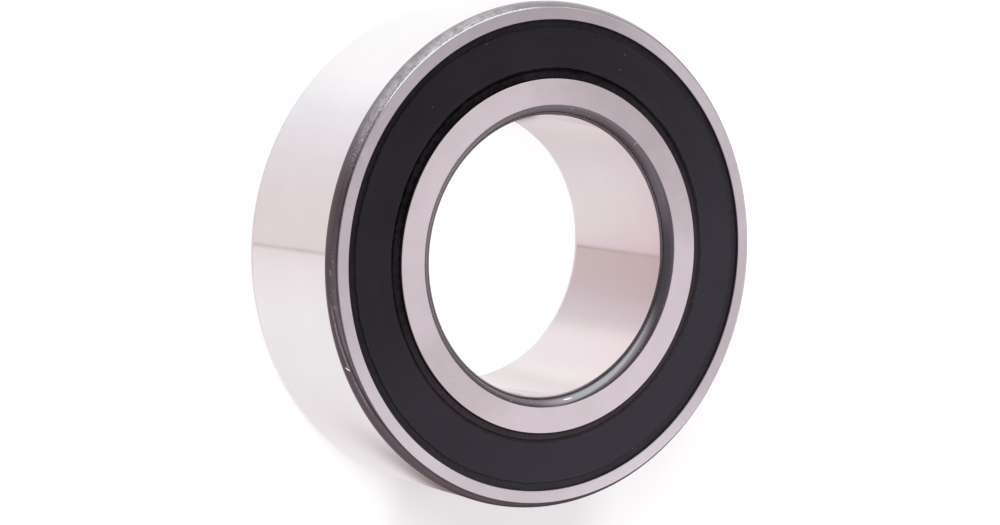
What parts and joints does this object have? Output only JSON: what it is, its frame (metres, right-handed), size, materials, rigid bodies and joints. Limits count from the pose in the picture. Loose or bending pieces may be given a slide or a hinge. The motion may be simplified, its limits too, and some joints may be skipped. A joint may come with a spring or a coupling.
{
  "type": "angular contact ball bearing",
  "caption": "Double-row angular contact ball bearing with one-piece rings, caged balls and a rubber seal in each side; the inner ring turns on the balls inside the outer ring.",
  "frame": {"origin": "centre of the bearing, on its axis and midway between its two side faces", "axes": "+Z along the bearing's axis, towards the side that the picture shows; X and Y lie in its middle plane"},
  "size_m": [0.09, 0.09, 0.0302],
  "materials": {
    "ring_steel": "ground, with unground dark corners",
    "ball_steel": "polished",
    "cage_plastic": "moulded, satin",
    "seal_rubber": "moulded, satin"
  },
  "bodies": {
    "outer_ring": {"outer_ring": "ring_steel", "upper_seal": "seal_rubber", "lower_seal": "seal_rubber"},
    "inner_ring": {"inner_ring": "ring_steel"},
    "upper_cage": {"upper_cage": "cage_plastic"},
    "upper_ball_01": {"upper_ball_01": "ball_steel"},
    "upper_ball_02": {"upper_ball_02": "ball_steel"},
    "upper_ball_03": {"upper_ball_03": "ball_steel"},
    "upper_ball_04": {"upper_ball_04": "ball_steel"},
    "upper_ball_05": {"upper_ball_05": "ball_steel"},
    "upper_ball_06": {"upper_ball_06": "ball_steel"},
    "upper_ball_07": {"upper_ball_07": "ball_steel"},
    "upper_ball_08": {"upper_ball_08": "ball_steel"},
    "upper_ball_09": {"upper_ball_09": "ball_steel"},
    "upper_ball_10": {"upper_ball_10": "ball_steel"},
    "upper_ball_11": {"upper_ball_11": "ball_steel"},
    "upper_ball_12": {"upper_ball_12": "ball_steel"},
    "upper_ball_13": {"upper_ball_13": "ball_steel"},
    "upper_ball_14": {"upper_ball_14": "ball_steel"},
    "lower_cage": {"lower_cage": "cage_plastic"},
    "lower_ball_01": {"lower_ball_01": "ball_steel"},
    "lower_ball_02": {"lower_ball_02": "ball_steel"},
    "lower_ball_03": {"lower_ball_03": "ball_steel"},
    "lower_ball_04": {"lower_ball_04": "ball_steel"},
    "lower_ball_05": {"lower_ball_05": "ball_steel"},
    "lower_ball_06": {"lower_ball_06": "ball_steel"},
    "lower_ball_07": {"lower_ball_07": "ball_steel"},
    "lower_ball_08": {"lower_ball_08": "ball_steel"},
    "lower_ball_09": {"lower_ball_09": "ball_steel"},
    "lower_ball_10": {"lower_ball_10": "ball_steel"},
    "lower_ball_11": {"lower_ball_11": "ball_steel"},
    "lower_ball_12": {"lower_ball_12": "ball_steel"},
    "lower_ball_13": {"lower_ball_13": "ball_steel"},
    "lower_ball_14": {"lower_ball_14": "ball_steel"}
  },
  "joints": [
    {"name": "inner_ring_spin", "type": "hinge", "parent": "outer_ring", "child": "inner_ring", "pos_m": [0, 0, 0], "axis": [0, 0, 1], "continuous": true},
    {"name": "upper_cage_turn", "type": "hinge", "parent": "outer_ring", "child": "upper_cage", "pos_m": [0, 0, 0.00593], "axis": [0, 0, 1], "continuous": true},
    {"name": "upper_ball_01_spin", "type": "hinge", "parent": "upper_cage", "child": "upper_ball_01", "pos_m": [0.03516, 0, 0.00593], "axis": [0.5, 0, 0.866], "continuous": true},
    {"name": "upper_ball_02_spin", "type": "hinge", "parent": "upper_cage", "child": "upper_ball_02", "pos_m": [0.03167, 0.01525, 0.00593], "axis": [0.4505, 0.2169, 0.866], "continuous": true},
    {"name": "upper_ball_03_spin", "type": "hinge", "parent": "upper_cage", "child": "upper_ball_03", "pos_m": [0.02192, 0.02749, 0.00593], "axis": [0.3117, 0.3909, 0.866], "continuous": true},
    {"name": "upper_ball_04_spin", "type": "hinge", "parent": "upper_cage", "child": "upper_ball_04", "pos_m": [0.00782, 0.03427, 0.00593], "axis": [0.1113, 0.4875, 0.866], "continuous": true},
    {"name": "upper_ball_05_spin", "type": "hinge", "parent": "upper_cage", "child": "upper_ball_05", "pos_m": [-0.00782, 0.03427, 0.00593], "axis": [-0.1113, 0.4875, 0.866], "continuous": true},
    {"name": "upper_ball_06_spin", "type": "hinge", "parent": "upper_cage", "child": "upper_ball_06", "pos_m": [-0.02192, 0.02749, 0.00593], "axis": [-0.3117, 0.3909, 0.866], "continuous": true},
    {"name": "upper_ball_07_spin", "type": "hinge", "parent": "upper_cage", "child": "upper_ball_07", "pos_m": [-0.03167, 0.01525, 0.00593], "axis": [-0.4505, 0.2169, 0.866], "continuous": true},
    {"name": "upper_ball_08_spin", "type": "hinge", "parent": "upper_cage", "child": "upper_ball_08", "pos_m": [-0.03516, 0, 0.00593], "axis": [-0.5, 0, 0.866], "continuous": true},
    {"name": "upper_ball_09_spin", "type": "hinge", "parent": "upper_cage", "child": "upper_ball_09", "pos_m": [-0.03167, -0.01525, 0.00593], "axis": [-0.4505, -0.2169, 0.866], "continuous": true},
    {"name": "upper_ball_10_spin", "type": "hinge", "parent": "upper_cage", "child": "upper_ball_10", "pos_m": [-0.02192, -0.02749, 0.00593], "axis": [-0.3117, -0.3909, 0.866], "continuous": true},
    {"name": "upper_ball_11_spin", "type": "hinge", "parent": "upper_cage", "child": "upper_ball_11", "pos_m": [-0.00782, -0.03427, 0.00593], "axis": [-0.1113, -0.4875, 0.866], "continuous": true},
    {"name": "upper_ball_12_spin", "type": "hinge", "parent": "upper_cage", "child": "upper_ball_12", "pos_m": [0.00782, -0.03427, 0.00593], "axis": [0.1113, -0.4875, 0.866], "continuous": true},
    {"name": "upper_ball_13_spin", "type": "hinge", "parent": "upper_cage", "child": "upper_ball_13", "pos_m": [0.02192, -0.02749, 0.00593], "axis": [0.3117, -0.3909, 0.866], "continuous": true},
    {"name": "upper_ball_14_spin", "type": "hinge", "parent": "upper_cage", "child": "upper_ball_14", "pos_m": [0.03167, -0.01525, 0.00593], "axis": [0.4505, -0.2169, 0.866], "continuous": true},
    {"name": "lower_cage_turn", "type": "hinge", "parent": "outer_ring", "child": "lower_cage", "pos_m": [0, 0, -0.00593], "axis": [0, 0, 1], "continuous": true},
    {"name": "lower_ball_01_spin", "type": "hinge", "parent": "lower_cage", "child": "lower_ball_01", "pos_m": [0.03427, 0.00782, -0.00593], "axis": [-0.4875, -0.1113, 0.866], "continuous": true},
    {"name": "lower_ball_02_spin", "type": "hinge", "parent": "lower_cage", "child": "lower_ball_02", "pos_m": [0.02749, 0.02192, -0.00593], "axis": [-0.3909, -0.3117, 0.866], "continuous": true},
    {"name": "lower_ball_03_spin", "type": "hinge", "parent": "lower_cage", "child": "lower_ball_03", "pos_m": [0.01525, 0.03167, -0.00593], "axis": [-0.2169, -0.4505, 0.866], "continuous": true},
    {"name": "lower_ball_04_spin", "type": "hinge", "parent": "lower_cage", "child": "lower_ball_04", "pos_m": [0, 0.03516, -0.00593], "axis": [0, -0.5, 0.866], "continuous": true},
    {"name": "lower_ball_05_spin", "type": "hinge", "parent": "lower_cage", "child": "lower_ball_05", "pos_m": [-0.01525, 0.03167, -0.00593], "axis": [0.2169, -0.4505, 0.866], "continuous": true},
    {"name": "lower_ball_06_spin", "type": "hinge", "parent": "lower_cage", "child": "lower_ball_06", "pos_m": [-0.02749, 0.02192, -0.00593], "axis": [0.3909, -0.3117, 0.866], "continuous": true},
    {"name": "lower_ball_07_spin", "type": "hinge", "parent": "lower_cage", "child": "lower_ball_07", "pos_m": [-0.03427, 0.00782, -0.00593], "axis": [0.4875, -0.1113, 0.866], "continuous": true},
    {"name": "lower_ball_08_spin", "type": "hinge", "parent": "lower_cage", "child": "lower_ball_08", "pos_m": [-0.03427, -0.00782, -0.00593], "axis": [0.4875, 0.1113, 0.866], "continuous": true},
    {"name": "lower_ball_09_spin", "type": "hinge", "parent": "lower_cage", "child": "lower_ball_09", "pos_m": [-0.02749, -0.02192, -0.00593], "axis": [0.3909, 0.3117, 0.866], "continuous": true},
    {"name": "lower_ball_10_spin", "type": "hinge", "parent": "lower_cage", "child": "lower_ball_10", "pos_m": [-0.01525, -0.03167, -0.00593], "axis": [0.2169, 0.4505, 0.866], "continuous": true},
    {"name": "lower_ball_11_spin", "type": "hinge", "parent": "lower_cage", "child": "lower_ball_11", "pos_m": [0, -0.03516, -0.00593], "axis": [0, 0.5, 0.866], "continuous": true},
    {"name": "lower_ball_12_spin", "type": "hinge", "parent": "lower_cage", "child": "lower_ball_12", "pos_m": [0.01525, -0.03167, -0.00593], "axis": [-0.2169, 0.4505, 0.866], "continuous": true},
    {"name": "lower_ball_13_spin", "type": "hinge", "parent": "lower_cage", "child": "lower_ball_13", "pos_m": [0.02749, -0.02192, -0.00593], "axis": [-0.3909, 0.3117, 0.866], "continuous": true},
    {"name": "lower_ball_14_spin", "type": "hinge", "parent": "lower_cage", "child": "lower_ball_14", "pos_m": [0.03427, -0.00782, -0.00593], "axis": [-0.4875, 0.1113, 0.866], "continuous": true}
  ],
  "couplings": [
    {"joint": "upper_cage_turn", "follows": "inner_ring_spin", "ratio": 0.43156},
    {"joint": "upper_ball_01_spin", "follows": "inner_ring_spin", "ratio": -3.1044},
    {"joint": "upper_ball_02_spin", "follows": "inner_ring_spin", "ratio": -3.1044},
    {"joint": "upper_ball_03_spin", "follows": "inner_ring_spin", "ratio": -3.1044},
    {"joint": "upper_ball_04_spin", "follows": "inner_ring_spin", "ratio": -3.1044},
    {"joint": "upper_ball_05_spin", "follows": "inner_ring_spin", "ratio": -3.1044},
    {"joint": "upper_ball_06_spin", "follows": "inner_ring_spin", "ratio": -3.1044},
    {"joint": "upper_ball_07_spin", "follows": "inner_ring_spin", "ratio": -3.1044},
    {"joint": "upper_ball_08_spin", "follows": "inner_ring_spin", "ratio": -3.1044},
    {"joint": "upper_ball_09_spin", "follows": "inner_ring_spin", "ratio": -3.1044},
    {"joint": "upper_ball_10_spin", "follows": "inner_ring_spin", "ratio": -3.1044},
    {"joint": "upper_ball_11_spin", "follows": "inner_ring_spin", "ratio": -3.1044},
    {"joint": "upper_ball_12_spin", "follows": "inner_ring_spin", "ratio": -3.1044},
    {"joint": "upper_ball_13_spin", "follows": "inner_ring_spin", "ratio": -3.1044},
    {"joint": "upper_ball_14_spin", "follows": "inner_ring_spin", "ratio": -3.1044},
    {"joint": "lower_cage_turn", "follows": "inner_ring_spin", "ratio": 0.43156},
    {"joint": "lower_ball_01_spin", "follows": "inner_ring_spin", "ratio": -3.1044},
    {"joint": "lower_ball_02_spin", "follows": "inner_ring_spin", "ratio": -3.1044},
    {"joint": "lower_ball_03_spin", "follows": "inner_ring_spin", "ratio": -3.1044},
    {"joint": "lower_ball_04_spin", "follows": "inner_ring_spin", "ratio": -3.1044},
    {"joint": "lower_ball_05_spin", "follows": "inner_ring_spin", "ratio": -3.1044},
    {"joint": "lower_ball_06_spin", "follows": "inner_ring_spin", "ratio": -3.1044},
    {"joint": "lower_ball_07_spin", "follows": "inner_ring_spin", "ratio": -3.1044},
    {"joint": "lower_ball_08_spin", "follows": "inner_ring_spin", "ratio": -3.1044},
    {"joint": "lower_ball_09_spin", "follows": "inner_ring_spin", "ratio": -3.1044},
    {"joint": "lower_ball_10_spin", "follows": "inner_ring_spin", "ratio": -3.1044},
    {"joint": "lower_ball_11_spin", "follows": "inner_ring_spin", "ratio": -3.1044},
    {"joint": "lower_ball_12_spin", "follows": "inner_ring_spin", "ratio": -3.1044},
    {"joint": "lower_ball_13_spin", "follows": "inner_ring_spin", "ratio": -3.1044},
    {"joint": "lower_ball_14_spin", "follows": "inner_ring_spin", "ratio": -3.1044}
  ]
}
